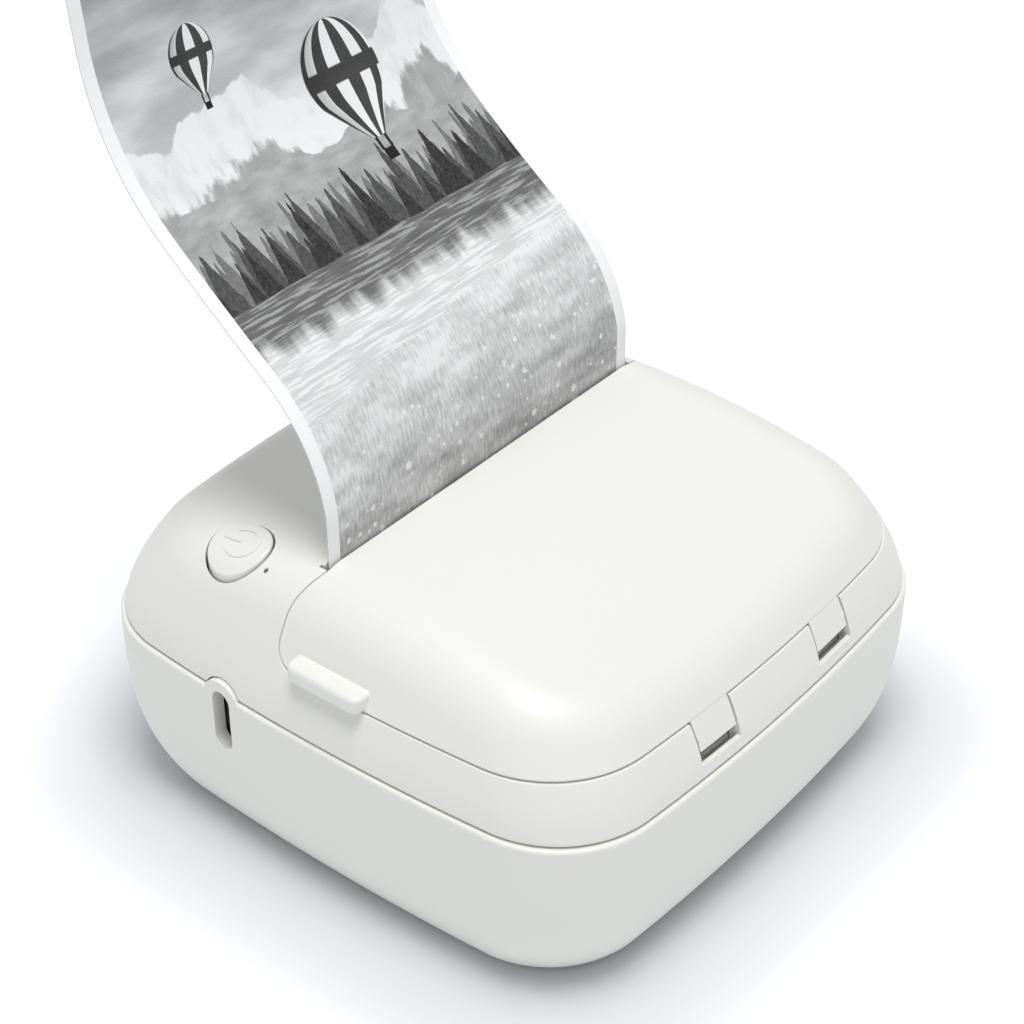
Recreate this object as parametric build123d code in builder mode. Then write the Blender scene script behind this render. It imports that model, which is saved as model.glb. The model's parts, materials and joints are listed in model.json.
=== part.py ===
from build123d import *
from math import acos, atan2, cos, degrees, pi, radians, sin, sqrt, tan
import os

# Portable thermal printer for 57 mm roll paper, in millimetres.
# +Z is up, z = 0 is the plane it rests on, and x = 0 is its middle plane.
# -Y is the button side, +Y the hinge side, and +X the side with the USB port.

# Casing, outside
body_half_x = 39.5
body_half_y = 40.9
side_crown = 2.4
corner_radius = 14.2
corner_narrowing = 0.4
foot_proud = 0.6
parting_z = 24.7
cover_z = 32.0
top_z = 42.2
roof_radius = 125.0
roof_fillet = 9.6
wall_inset_x = 1.8
wall_inset_y = 2.4
wall_inset_power = 1.6
rim_proud = 0.4
rim_round = 0.4
bowl_inset_x = 4.7
bowl_inset_y = 5.2
bowl_inset_power = 3.5
bowl_crown = 1.6
bowl_corner_radius = 13.5
bottom_round = 1.9
wall = 1.8
floor_thickness = 1.8
shut_gap = 0.2
front_gap = 0.08
slip_gap = 0.3
press_gap = 0.02
bite = 0.2
skin_inset = 0.5
lip_thickness = 1.0
lip_height = 1.3
lip_root = 2.4
edge_round = 0.35
cover_edge_round = 0.22

# Cover, its slot, tabs and ears
slot_y = -4.6
slot_width = 1.4
slot_half_length = 29.4
tear_pitch = 1.45
tear_tooth = 0.55
tear_sunk = 0.35
tear_height = 2.6
tear_thickness = 0.6
cover_front_x = 34.0
cover_front_y = -6.3
cover_front_round = 5.0
cover_corner_radius = 3.2
cover_lip_start_y = 6.0
tab_length = 11.3
tab_start_y = -3.2
tab_height = 2.3
tab_proud = 1.5
tab_root = 1.2
tab_lift = 0.3
tab_end_round = 1.3
tab_edge_round = 0.6
ear_x = 11.93
ear_width = 6.65
ear_window_height = 1.7
ear_window_lip = 0.6
ear_undercut = 1.2
ear_setback = 0.1
ear_tongue_reach = 1.3
ear_tongue_rise = 0.8
ear_drop = 0.9
hinge_y = 37.7
hinge_z = 29.3
ear_barrel_radius = 1.5
hinge_pin_radius = 0.75
hinge_lug_width = 1.5
hinge_lug_reach = 1.8
hinge_room = 6.0
hinge_pin_inset = 0.1
running_gap = 0.05

# Power button and status light
button_x = 30.8
button_y = -17.6
button_half_x = 3.5
button_half_y = 4.4
button_gap = 0.3
button_proud = 0.4
button_round = 0.3
button_travel = 0.5
button_boss_width = 1.0
button_boss_z = 36.2
button_clip_x = 28.9
button_clip_width = 2.4
button_clip_height = 1.1
button_clip_reach = 4.8
button_hole_z = 33.0
button_stem_y = -18.2
button_stem_radius = 1.1
symbol_x = 30.5
symbol_y = -17.4
symbol_half_x = 1.8
symbol_half_y = 2.45
symbol_line = 0.4
symbol_proud = 0.2
symbol_gap_angle = 70.0
symbol_bar_length = 2.7
symbol_bar_y = -18.95
light_x = 32.2
light_y = -12.0
light_hole_radius = 0.3
light_pin_radius = 0.25
light_rod_radius = 0.45
light_boss_radius = 1.2
light_gap = 0.1
light_rod_drop = 4.6
light_step = 0.4
light_foot_drop = 2.0
light_foot_height = 1.2
light_led_gap = 0.2
led_width = 1.6
led_depth = 0.9
led_height = 0.8
led_drop = 1.0

# USB-C port
usb_y = -13.8
usb_z = 20.7
usb_hole_length = 8.7
usb_hole_width = 2.9
usb_arch_radius = 3.0
usb_shell_length = 8.94
usb_shell_width = 3.16
usb_shell_depth = 7.3
usb_shell_wall = 0.3
usb_tongue_length = 6.7
usb_tongue_thickness = 0.7
usb_wall_gap = 0.3
usb_socket_setback = 0.5
usb_tongue_setback = 0.8
usb_plug_depth = 1.4
usb_room_half_y = 5.6
usb_cut_depth = 6.0

# Paper
paper_width = 57.5
paper_thickness = 0.16
roll_radius = 15.0
roll_y = 17.0
core_radius = 6.0
core_bore_radius = 3.9
strip_rise = 4.6
strip_bend_radius = 23.5
strip_bend_angle = 50.0
strip_straight = 19.0
strip_return_radius = 35.0
strip_return_angle = 40.0
strip_end = 6.0

# Platen roller, carried by the cover
platen_y = -0.85
platen_z = 31.0
platen_radius = 4.0
platen_half_length = 28.9
platen_shaft_radius = 1.5
bush_radius = 2.3
bush_width = 1.4
arm_thickness = 1.0
arm_gap = 0.35
arm_half_width = 2.6
bracket_top_z = 39.6
bracket_thickness = 1.4
bracket_depth = 8.6
bracket_screw_x = 20.0
bracket_screw_setback = 4.0
screw_tip_gap = 0.2
bush_gap = 0.1
shaft_chamfer = 0.3
shaft_end_reach = 0.5
rubber_round = 0.3

# Gears, all on the -X side
gear_module = 0.4
gear_backlash = 0.12
pressure_angle = 20.0
platen_teeth = 20
idler_teeth = 16
reduction_small_teeth = 12
reduction_big_teeth = 30
pinion_teeth = 12
gear_centre_gap = 0.05
gear_root_share = 1.3
gear_tip_share = 0.88
idler_angle = 253.0
reduction_angle = 254.0
motor_angle = 214.0
gear_width = 1.8
big_gear_width = 1.2
gear_side_gap = 0.3
gear_post_radius = 0.8
gear_step_gap = 0.2
gear_hub_reach = 0.3
post_end_reach = 0.5

# Printer frame and print head
frame_half_x = 31.6
frame_plate = 1.1
frame_back_y = 2.4
frame_top_z = 35.4
frame_foot_height = 1.4
frame_foot_reach = 5.4
frame_boss_height = 2.0
frame_screw_y = -6.4
frame_foot_half_width = 2.6
frame_overlap = 0.1
frame_motor_margin = 1.0
frame_left_margin = 2.4
bush_seat_gap = 0.15
spring_seat_depth = 1.8
sensor_beam_y = (-5.6, -4.4)
sensor_beam_z = (18.5, 21.5)
sensor_half_length = 2.2
sensor_depth = 2.7
sensor_margin = 0.3
beam_y = -11.0
beam_thickness = 1.1
beam_bottom_z = 26.0
head_half_length = 29.6
heat_sink_thickness = 1.6
ceramic_thickness = 0.7
ceramic_bottom_z = 26.0
ceramic_inset = 0.6
ceramic_chamfer = 0.15
sink_notch_half = 3.0
sink_notch_inset = 2.0
sink_notch_rise = 1.0
sink_notch_height = 3.0
head_pin_inset = 0.1
head_bottom_z = 22.6
head_top_z = 37.0
head_pivot_z = 24.2
head_pin_radius = 0.7
head_paper_gap = 0.06
spring_radius = 1.5
spring_wire_radius = 0.22
spring_turns = 3
spring_gap = 0.4
spring_seat_gap = 0.15
spring_spacing = 18.0
motor_radius = 7.5
motor_length = 12.0
motor_flange_thickness = 0.8
motor_screw_spacing = 17.6
motor_screw_angle = 140.0
motor_screw_radius = 0.6
motor_screw_head_radius = 1.1
motor_screw_reach = 0.3
motor_ear_width = 4.0
motor_round = 0.5
motor_shaft_seat = 0.4
motor_boss_gap = 0.6

# Board and battery
board_y = -16.0
board_thickness = 1.0
board_left_x = -14.0
board_right_x = 34.2
board_top_z = 31.0
board_guide_thickness = 1.2
board_guide_height = 4.0
board_guide_length = 5.0
board_guide_left = 6.0
board_guide_right = 14.0
board_guide_gap = 0.15
board_corner = 1.0
chip_height = 1.0
processor_x = (4.0, 11.0)
processor_z = (17.0, 24.0)
memory_x = (15.0, 20.0)
memory_z = (8.0, 12.0)
driver_x = (-9.0, -4.0)
driver_z = (20.0, 25.0)
charger_x = (22.0, 27.0)
charger_z = (8.0, 13.0)
ribbon_half = 8.0
ribbon_thickness = 0.2
ribbon_z = 13.6
ribbon_bend = 3.0
ribbon_socket_depth = 1.8
ribbon_socket_half_height = 1.0
plug_x = 17.0
plug_z = 26.0
plug_half_width = 3.0
plug_half_height = 1.6
plug_depth = 2.6
switch_half_width = 2.3
switch_depth = 3.4
switch_height = 3.6
switch_proud = 1.6
plunger_radius = 0.9
plunger_sunk = 1.6
plunger_reach = 1.3
plunger_end_gap = 0.1
battery_radius = 8.5
battery_length = 48.0
battery_y = -28.4
battery_saddle_x = 14.0
battery_floor_gap = 0.5
battery_round = 0.6
battery_cap_radius = 3.0
battery_cap_length = 1.0
battery_gap = 0.2
saddle_half = 1.0
saddle_margin = 1.2
saddle_drop = 3.5
wire_radius = 0.6
wire_spacing = 2.0
wire_bend = 3.0
wire_gap = 0.1

# Paper bucket
bucket_wall = 1.2
bucket_gap = 1.3
bucket_end_gap = 0.35
bucket_lip_z = 12.6
bucket_top_z = 22.0
bucket_front_y = 5.5
bucket_foot_width = 12.0

# Fixings
foot_radius = 4.0
foot_sunk = 0.4
foot_x = 21.0
foot_y = 22.5
case_screw_x = 27.0
case_screw_y = -27.6
boss_radius = 2.3
case_boss_top_z = 10.4
screw_radius = 0.9
screw_head_radius = 1.7
screw_head_height = 1.0
screw_drive_length = 1.9
screw_drive_width = 0.4
screw_drive_depth = 0.5
case_screw_length = 14.0
case_seat_rise = 2.2
screw_head_gap = 0.15
foot_gap = 0.1
foot_round = 0.3
hole_floor = 0.6
short_screw_length = 3.6

# Places worked out from the sizes above
base_z = foot_proud
floor_z = base_z + floor_thickness
upper_z = parting_z + shut_gap
far = 60.0
roll_z = floor_z + bucket_wall + slip_gap + roll_radius
bucket_radius = roll_radius + bucket_gap
bucket_z = floor_z + bucket_wall + bucket_radius
bucket_half_x = paper_width / 2 + bucket_end_gap
strip_y = platen_y - platen_radius - running_gap - paper_thickness / 2
ceramic_y = strip_y - paper_thickness / 2 - head_paper_gap
heat_sink_y = ceramic_y - ceramic_thickness
head_back_y = heat_sink_y - heat_sink_thickness
head_pivot_y = heat_sink_y - heat_sink_thickness / 2
ear_window_z = hinge_z - ear_drop - ear_window_height
ear_half = ear_width / 2
lug_x = ear_half + slip_gap + hinge_lug_width / 2
board_bottom_z = floor_z + slip_gap
board_front_y = board_y - board_thickness / 2
board_back_y = board_y + board_thickness / 2
arm_x = platen_half_length + arm_gap + arm_thickness / 2
bracket_screw_y = platen_y + bracket_screw_setback
frame_screw_x = frame_half_x - frame_plate - frame_foot_reach / 2
case_seat_z = floor_z + case_seat_rise
gear_face_x = frame_half_x + gear_side_gap
big_gear_face_x = gear_face_x + gear_width + gear_step_gap
battery_z = floor_z + battery_floor_gap + battery_radius
usb_inner_x = body_half_x + rim_proud - wall - usb_wall_gap
light_rod_top_z = top_z - light_rod_drop


def centre_distance(teeth_a, teeth_b):
    return gear_module * (teeth_a + teeth_b) / 2 + gear_centre_gap


def step(start, distance, angle):
    """Point reached from start in the YZ plane."""
    return (start[0] + distance * cos(radians(angle)), start[1] + distance * sin(radians(angle)))


platen_at = (platen_y, platen_z)
idler_at = step(platen_at, centre_distance(platen_teeth, idler_teeth), idler_angle)
reduction_at = step(idler_at, centre_distance(idler_teeth, reduction_small_teeth), reduction_angle)
motor_at = step(reduction_at, centre_distance(reduction_big_teeth, pinion_teeth), motor_angle)

os.makedirs("parts", exist_ok=True)


def save(piece, name):
    piece.part.label = name
    export_step(piece.part, f"parts/{name}.step")


# Shapes that several pieces share

def outline(z, half_x, half_y, crown, radius):
    """Plan outline at height z: four crowned sides joined by rounded corners."""
    corner_x = half_x - crown
    corner_y = half_y - crown
    with BuildSketch(Plane.XY.offset(z)) as sketch:
        with BuildLine():
            ThreePointArc((corner_x, -corner_y), (half_x, 0), (corner_x, corner_y))
            ThreePointArc((corner_x, corner_y), (0, half_y), (-corner_x, corner_y))
            ThreePointArc((-corner_x, corner_y), (-half_x, 0), (-corner_x, -corner_y))
            ThreePointArc((-corner_x, -corner_y), (0, -half_y), (corner_x, -corner_y))
        make_face()
        fillet(sketch.vertices(), radius)
    return sketch.sketch


def inner_radius(inset):
    """Corner radius of an outline that is moved inwards."""
    return corner_radius - corner_narrowing * inset


def upper_envelope(inset):
    """Solid pillow above the parting line, moved inwards by inset."""
    sections = []
    wall_height = top_z - parting_z
    for share in (0.0, 0.2, 0.42, 0.66, 0.92, 1.2):
        height = wall_height * share
        lean = (height / (cover_z - parting_z)) ** wall_inset_power
        half_x = body_half_x - inset - wall_inset_x * lean
        half_y = body_half_y - inset - wall_inset_y * lean
        sections.append(outline(parting_z + height, half_x, half_y, side_crown, inner_radius(inset)))
    with BuildPart() as pillow:
        for section in sections:
            add(section)
        loft()
        with BuildSketch(Plane.YZ.offset(-far)):
            with Locations((0, top_z - inset - roof_radius)):
                Circle(roof_radius)
        extrude(amount=2 * far, mode=Mode.INTERSECT)
        fillet(pillow.faces().sort_by(Axis.Z)[-1].edges(), roof_fillet - inset)
    return pillow.part


def lower_envelope(inset, bottom_z):
    """Solid bowl below the parting line, moved inwards by inset."""
    sections = []
    for share in (0.0, 0.3, 0.52, 0.7, 0.86, 1.0):
        z = parting_z - (parting_z - base_z) * share
        lean = share ** bowl_inset_power
        half_x = body_half_x + rim_proud - inset - bowl_inset_x * lean
        half_y = body_half_y + rim_proud - inset - bowl_inset_y * lean
        crown = side_crown + (bowl_crown - side_crown) * lean
        radius = inner_radius(inset) + (bowl_corner_radius - corner_radius) * lean
        sections.append(outline(z, half_x, half_y, crown, radius))
    with BuildPart() as bowl:
        for section in sections:
            add(section)
        loft()
        if bottom_z > base_z:
            split(bisect_by=Plane.XY.offset(bottom_z), keep=Keep.TOP)
        else:
            fillet(bowl.faces().sort_by(Axis.Z)[0].edges(), bottom_round)
    return bowl.part


def block(x, y, z):
    """Solid box between the given pairs of x, y and z."""
    with BuildPart() as box:
        with BuildSketch(Plane.XY.offset(z[0])):
            with Locations(((x[0] + x[1]) / 2, (y[0] + y[1]) / 2)):
                Rectangle(x[1] - x[0], y[1] - y[0])
        extrude(amount=z[1] - z[0])
    return box.part


def rod_x(y, z, radius, x0, x1):
    """Round bar along X."""
    with BuildPart() as rod:
        with BuildSketch(Plane.YZ.offset(x0)):
            with Locations((y, z)):
                Circle(radius)
        extrude(amount=x1 - x0)
    return rod.part


def rod_z(x, y, radius, z0, z1):
    """Round bar along Z."""
    with BuildPart() as rod:
        with BuildSketch(Plane.XY.offset(z0)):
            with Locations((x, y)):
                Circle(radius)
        extrude(amount=z1 - z0)
    return rod.part


def button_oval(grow, z0, z1):
    """Upright oval bar at the button, larger than the button by grow."""
    with BuildPart() as oval:
        with BuildSketch(Plane.XY.offset(z0)):
            with Locations((button_x, button_y)):
                Ellipse(button_half_x + grow, button_half_y + grow)
        extrude(amount=z1 - z0)
    return oval.part


def ring_block(z0, z1, outside, inside):
    """Straight band that follows the plan outline, between two insets from the body's half sizes."""
    with BuildPart() as band:
        add(outline(z0, body_half_x - outside, body_half_y - outside, side_crown, inner_radius(outside)))
        extrude(amount=z1 - z0)
        add(outline(z0, body_half_x - inside, body_half_y - inside, side_crown, inner_radius(inside)))
        extrude(amount=z1 - z0, mode=Mode.SUBTRACT)
    return band.part


def cover_region(front, below):
    """Everything behind the slot and above the cover's lower edge, grown by the two gaps."""
    z = cover_z - below
    slot_edge_y = slot_y - front
    side_edge_y = cover_front_y - front
    with BuildPart() as region:
        with BuildSketch(Plane.YZ.offset(-far)) as side:
            with BuildLine():
                Polyline((side_edge_y, far), (side_edge_y, z), (far, z), (far, far), close=True)
            make_face()
            fillet(side.vertices().sort_by(lambda corner: corner.X + corner.Y)[0], cover_corner_radius)
        extrude(amount=2 * far)
        with BuildSketch() as plan:
            with BuildLine():
                Polyline((-far, far), (-far, side_edge_y), (-cover_front_x, side_edge_y),
                         (-slot_half_length, slot_edge_y), (slot_half_length, slot_edge_y),
                         (cover_front_x, side_edge_y), (far, side_edge_y), (far, far), close=True)
            make_face()
            fillet(plan.vertices().filter_by(lambda corner: abs(corner.X) < body_half_x), cover_front_round)
        extrude(amount=2 * far, mode=Mode.INTERSECT)
    return region.part


def usb_pill(length, width, x0, x1):
    """Upright pill-shaped bar along X at the USB port."""
    with BuildPart() as pill:
        with BuildSketch(Plane.YZ.offset(x0)):
            with Locations((usb_y, usb_z)):
                SlotOverall(length, width, rotation=90)
        extrude(amount=x1 - x0)
    return pill.part


upper_outer = upper_envelope(0)
upper_inner = upper_envelope(wall)
lower_outer = lower_envelope(0, base_z)
lower_inner = lower_envelope(wall, floor_z)
usb_arch_z = usb_z + (usb_hole_length - usb_hole_width) / 2
lip_inset = wall + slip_gap


# Lower shell: a bowl with a proud rim, an arch round the port, bosses, ribs and saddles

with BuildPart() as lower_shell:
    add(lower_outer)
    fillet(lower_shell.faces().sort_by(Axis.Z)[-1].outer_wire().edges(), rim_round)
    add(rod_x(usb_y, usb_arch_z, usb_arch_radius, body_half_x - wall - slip_gap, body_half_x + far))
    with BuildSketch(Plane.XY.offset(base_z)):
        add(outline(base_z, body_half_x + rim_proud, body_half_y + rim_proud, side_crown, corner_radius))
    extrude(amount=far, mode=Mode.INTERSECT)
    add(lower_inner, mode=Mode.SUBTRACT)
    lips = ring_block(parting_z - lip_root, parting_z + lip_height, lip_inset, lip_inset + lip_thickness)
    lips += ring_block(parting_z - lip_root, parting_z - lip_root / 2, wall - rim_proud - bite,
                       lip_inset + bite)
    add(lips - block((0, far), (usb_y - usb_room_half_y, usb_y + usb_room_half_y), (0, far)))
    for side in (-1, 1):
        add(rod_z(side * case_screw_x, case_screw_y, boss_radius, floor_z - bite, case_boss_top_z))
        add(rod_z(side * frame_screw_x, frame_screw_y, boss_radius, floor_z - bite,
                  floor_z + frame_boss_height))
        add(block((side * battery_saddle_x - saddle_half, side * battery_saddle_x + saddle_half),
                  (battery_y - battery_radius + saddle_margin, battery_y + battery_radius - saddle_margin),
                  (floor_z - bite, battery_z - saddle_drop)))
    add(rod_x(battery_y, battery_z, battery_radius + battery_gap, -battery_length / 2, battery_length / 2),
        mode=Mode.SUBTRACT)
    for guide_y in (board_front_y - board_guide_gap - board_guide_thickness, board_back_y + board_guide_gap):
        for guide_x in (board_left_x + board_guide_left, board_right_x - board_guide_right):
            add(block((guide_x, guide_x + board_guide_length), (guide_y, guide_y + board_guide_thickness),
                      (floor_z - bite, floor_z + board_guide_height)))
    for side in (-1, 1):
        add(rod_z(side * case_screw_x, case_screw_y, screw_radius + running_gap, 0, far), mode=Mode.SUBTRACT)
        add(rod_z(side * case_screw_x, case_screw_y, screw_head_radius + screw_head_gap, 0, case_seat_z),
            mode=Mode.SUBTRACT)
        add(rod_z(side * frame_screw_x, frame_screw_y, screw_radius + running_gap, base_z + hole_floor, far),
            mode=Mode.SUBTRACT)
    with BuildSketch(Plane.XY):
        with GridLocations(2 * foot_x, 2 * foot_y, 2, 2):
            Circle(foot_radius + foot_gap)
    extrude(amount=base_z + foot_sunk, mode=Mode.SUBTRACT)
    add(usb_pill(usb_hole_length, usb_hole_width, body_half_x - usb_cut_depth, far), mode=Mode.SUBTRACT)
save(lower_shell, "lower_shell")


# Upper shell: front deck, and the band under the cover with its lip, hinge lugs and ear windows

def lip_piece(outside, inside, z0, z1):
    """Piece of the lip that closes the joint under the cover, between two insets."""
    ring = upper_envelope(outside) - upper_envelope(inside)
    return ring & block((-far, far), (cover_lip_start_y, far), (z0, z1))


with BuildPart() as upper_shell:
    add(upper_outer)
    add(block((-far, far), (-far, far), (0, upper_z)), mode=Mode.SUBTRACT)
    fillet(upper_shell.faces().sort_by(Axis.Z)[0].outer_wire().edges(), edge_round)
    add(upper_inner, mode=Mode.SUBTRACT)
    add(cover_region(front_gap, shut_gap), mode=Mode.SUBTRACT)
    add(lip_piece(lip_inset, lip_inset + lip_thickness, cover_z - lip_root, cover_z + lip_height))
    add(lip_piece(wall - bite, lip_inset + bite, cover_z - lip_root, cover_z - lip_root / 2))
    add(block((-slot_half_length, slot_half_length), (slot_y - slot_width, slot_y), (cover_z, far)),
        mode=Mode.SUBTRACT)
    for side in (-1, 1):
        x = side * ear_x
        room = ear_half + slip_gap
        lug_end = room + hinge_lug_width
        add(block((x - lug_end, x + lug_end), (hinge_y - hinge_room, hinge_y - hinge_lug_reach),
                  (ear_window_z, far)), mode=Mode.SUBTRACT)
        lugs = block((x - lug_end, x + lug_end), (hinge_y - hinge_lug_reach, far),
                     (hinge_z - hinge_lug_reach, hinge_z + hinge_lug_reach))
        add(lugs & upper_envelope(skin_inset))
        add(block((x - room, x + room), (hinge_y - hinge_room, far), (ear_window_z, far)),
            mode=Mode.SUBTRACT)
        hollow = block((x - room, x + room), (hinge_y - hinge_room, far),
                       (ear_window_z - ear_undercut, far))
        add(hollow & upper_envelope(ear_window_lip), mode=Mode.SUBTRACT)
        add(rod_x(hinge_y, hinge_z, hinge_pin_radius + press_gap, x - lug_end, x + lug_end),
            mode=Mode.SUBTRACT)
    posts = button_oval(button_gap + button_boss_width, button_boss_z, far)
    posts += rod_z(light_x, light_y, light_boss_radius, button_boss_z, far)
    for side in (-1, 1):
        posts += rod_z(side * case_screw_x, case_screw_y, boss_radius, case_boss_top_z + shut_gap, far)
    add(posts & (upper_envelope(skin_inset) + block((-far, far), (-far, far), (0, parting_z + bite))))
    add(button_oval(button_gap, button_hole_z, far), mode=Mode.SUBTRACT)
    add(rod_z(light_x, light_y, light_hole_radius, parting_z, far), mode=Mode.SUBTRACT)
    add(rod_z(light_x, light_y, light_rod_radius + light_gap, parting_z, light_rod_top_z + light_step),
        mode=Mode.SUBTRACT)
    for side in (-1, 1):
        add(rod_z(side * case_screw_x, case_screw_y, screw_radius + running_gap, 0,
                  case_seat_z + case_screw_length + screw_tip_gap), mode=Mode.SUBTRACT)
    add(rod_x(usb_y, usb_arch_z, usb_arch_radius + shut_gap, body_half_x - usb_cut_depth, far),
        mode=Mode.SUBTRACT)
save(upper_shell, "upper_shell")

with BuildPart() as tear_bar:
    tooth_count = int(2 * (slot_half_length - shut_gap) / tear_pitch)
    bar_half = tooth_count * tear_pitch / 2
    crest = [(-bar_half + tear_pitch * (i / 2), top_z - tear_sunk + tear_tooth * (i % 2))
             for i in range(2 * tooth_count + 1)]
    with BuildSketch(Plane.XZ.offset(slot_width - slot_y - tear_thickness)):
        with BuildLine():
            Polyline((-bar_half, top_z - tear_height), *crest, (bar_half, top_z - tear_height), close=True)
        make_face()
    extrude(amount=tear_thickness)
save(tear_bar, "tear_bar")

with BuildPart() as hinge_pins:
    for side in (-1, 1):
        reach = lug_x + hinge_lug_width / 2 - hinge_pin_inset
        add(rod_x(hinge_y, hinge_z, hinge_pin_radius, side * ear_x - reach, side * ear_x + reach))
save(hinge_pins, "hinge_pins")


# Cover: a shell from the slot to the hinge, with finger tabs, hinge ears and screw bosses

with BuildPart() as cover_shell:
    add(upper_outer & cover_region(0, 0))
    rims = cover_shell.faces().filter_by(lambda face: min(face.normal_at().Y, face.normal_at().Z) < -0.5)
    skin_edges = (cover_shell.faces() - rims).edges()
    outer_edges = [edge for edge in rims.edges() if any(edge.is_same(other) for other in skin_edges)]
    fillet(outer_edges, cover_edge_round)
    add(upper_inner, mode=Mode.SUBTRACT)
    for side in (-1, 1):
        x0 = body_half_x - wall_inset_x - tab_root
        x1 = body_half_x - wall_inset_x + tab_proud
        with BuildPart(mode=Mode.PRIVATE) as tab:
            add(block((min(side * x0, side * x1), max(side * x0, side * x1)),
                      (tab_start_y, tab_start_y + tab_length),
                      (cover_z + tab_lift, cover_z + tab_lift + tab_height)))
            ends = tab.edges().filter_by(Axis.Z).sort_by(Axis.X)
            fillet(ends[-2:] if side > 0 else ends[:2], tab_end_round)
            outer = tab.faces().filter_by(Axis.X).sort_by(Axis.X)
            face = outer[-1] if side > 0 else outer[0]
            fillet([edge for edge in face.edges() if abs((edge % 0.5).Y) > 0.9], tab_edge_round)
        add(tab.part)
        x = side * ear_x
        tongue = block((x - ear_half, x + ear_half), (hinge_y - ear_tongue_reach, far),
                       (hinge_z - ear_drop, cover_z + ear_tongue_rise))
        add((tongue & upper_envelope(ear_setback)) - upper_inner)
        add(rod_x(hinge_y, hinge_z, ear_barrel_radius, x - ear_half, x + ear_half))
        add(rod_x(hinge_y, hinge_z, hinge_pin_radius + running_gap, x - ear_half - 1, x + ear_half + 1),
            mode=Mode.SUBTRACT)
        boss = rod_z(side * bracket_screw_x, bracket_screw_y, boss_radius, bracket_top_z, far)
        add(boss & upper_envelope(skin_inset))
        tip_z = bracket_top_z - bracket_thickness + short_screw_length + screw_tip_gap
        add(rod_z(side * bracket_screw_x, bracket_screw_y, screw_radius + running_gap,
                  bracket_top_z - bite, tip_z), mode=Mode.SUBTRACT)
save(cover_shell, "cover_shell")

with BuildPart() as platen_bracket:
    arm_outer_x = arm_x + arm_thickness / 2
    bracket_y = platen_y - arm_half_width
    add(block((-arm_outer_x, arm_outer_x), (bracket_y, bracket_y + bracket_depth),
              (bracket_top_z - bracket_thickness, bracket_top_z)))
    for side in (-1, 1):
        x0 = side * arm_x - arm_thickness / 2
        with BuildSketch(Plane.YZ.offset(x0)):
            with Locations((platen_y, platen_z)):
                Circle(arm_half_width)
            with Locations((platen_y, (platen_z + bracket_top_z) / 2)):
                Rectangle(2 * arm_half_width, bracket_top_z - platen_z)
        extrude(amount=arm_thickness)
        add(rod_x(platen_y, platen_z, platen_shaft_radius + running_gap, x0 - 1, x0 + arm_thickness + 1),
            mode=Mode.SUBTRACT)
        add(rod_z(side * bracket_screw_x, bracket_screw_y, screw_radius + running_gap, platen_z, far),
            mode=Mode.SUBTRACT)
save(platen_bracket, "platen_bracket")


def screw(x, y, seat_z, length, up):
    """Pan-head screw on Z: its head lies against seat_z, and its shank points up or down."""
    direction = 1 if up else -1
    shank_end = seat_z + direction * length
    head_end = seat_z - direction * screw_head_height
    drive_z = min(head_end, head_end + direction * screw_drive_depth)
    with BuildPart() as body:
        add(rod_z(x, y, screw_radius, min(seat_z, shank_end), max(seat_z, shank_end)))
        add(rod_z(x, y, screw_head_radius, min(seat_z, head_end), max(seat_z, head_end)))
        with BuildSketch(Plane.XY.offset(drive_z)):
            with Locations((x, y)):
                Rectangle(screw_drive_length, screw_drive_width)
                Rectangle(screw_drive_width, screw_drive_length)
        extrude(amount=screw_drive_depth, mode=Mode.SUBTRACT)
    return body.part


with BuildPart() as bracket_screws:
    for side in (-1, 1):
        seat_z = bracket_top_z - bracket_thickness
        add(screw(side * bracket_screw_x, bracket_screw_y, seat_z, short_screw_length, True))
save(bracket_screws, "bracket_screws")

with BuildPart() as case_screws:
    for side in (-1, 1):
        add(screw(side * case_screw_x, case_screw_y, case_seat_z, case_screw_length, True))
save(case_screws, "case_screws")

with BuildPart() as rubber_feet:
    with BuildSketch():
        with GridLocations(2 * foot_x, 2 * foot_y, 2, 2):
            Circle(foot_radius)
    extrude(amount=foot_proud + foot_sunk)
    fillet(rubber_feet.edges().group_by(Axis.Z)[0], foot_round)
save(rubber_feet, "rubber_feet")


# Platen roller, which turns in the bracket's arms and in bushes that snap into the frame

with BuildPart() as platen_bushes:
    for side in (-1, 1):
        x0 = arm_outer_x + bush_gap if side > 0 else -arm_outer_x - bush_gap - bush_width
        add(rod_x(platen_y, platen_z, bush_radius, x0, x0 + bush_width))
        add(rod_x(platen_y, platen_z, platen_shaft_radius + running_gap, x0 - 1, x0 + bush_width + 1),
            mode=Mode.SUBTRACT)
save(platen_bushes, "platen_bushes")

with BuildPart() as platen_shaft:
    add(rod_x(platen_y, platen_z, platen_shaft_radius, -gear_face_x - gear_width - frame_overlap,
              frame_half_x + shaft_end_reach))
    chamfer(platen_shaft.edges().filter_by(GeomType.CIRCLE), shaft_chamfer)
save(platen_shaft, "platen_shaft")

with BuildPart() as platen_rubber:
    add(rod_x(platen_y, platen_z, platen_radius, -platen_half_length, platen_half_length))
    fillet(platen_rubber.edges().filter_by(GeomType.CIRCLE), rubber_round)
    add(rod_x(platen_y, platen_z, platen_shaft_radius + press_gap, -far, far), mode=Mode.SUBTRACT)
save(platen_rubber, "platen_rubber")


# Gears: involute teeth, each phased so that it meshes with the one before

def involute(angle):
    return tan(angle) - angle


def tooth_half_angle(radius, teeth):
    """Half the angle that a tooth fills at a radius, in radians."""
    pitch_radius = gear_module * teeth / 2
    base_radius = pitch_radius * cos(radians(pressure_angle))
    at_pitch = pi / (2 * teeth) - gear_backlash / (4 * pitch_radius)
    at_radius = acos(base_radius / max(radius, base_radius))
    return at_pitch + involute(radians(pressure_angle)) - involute(at_radius)


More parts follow.
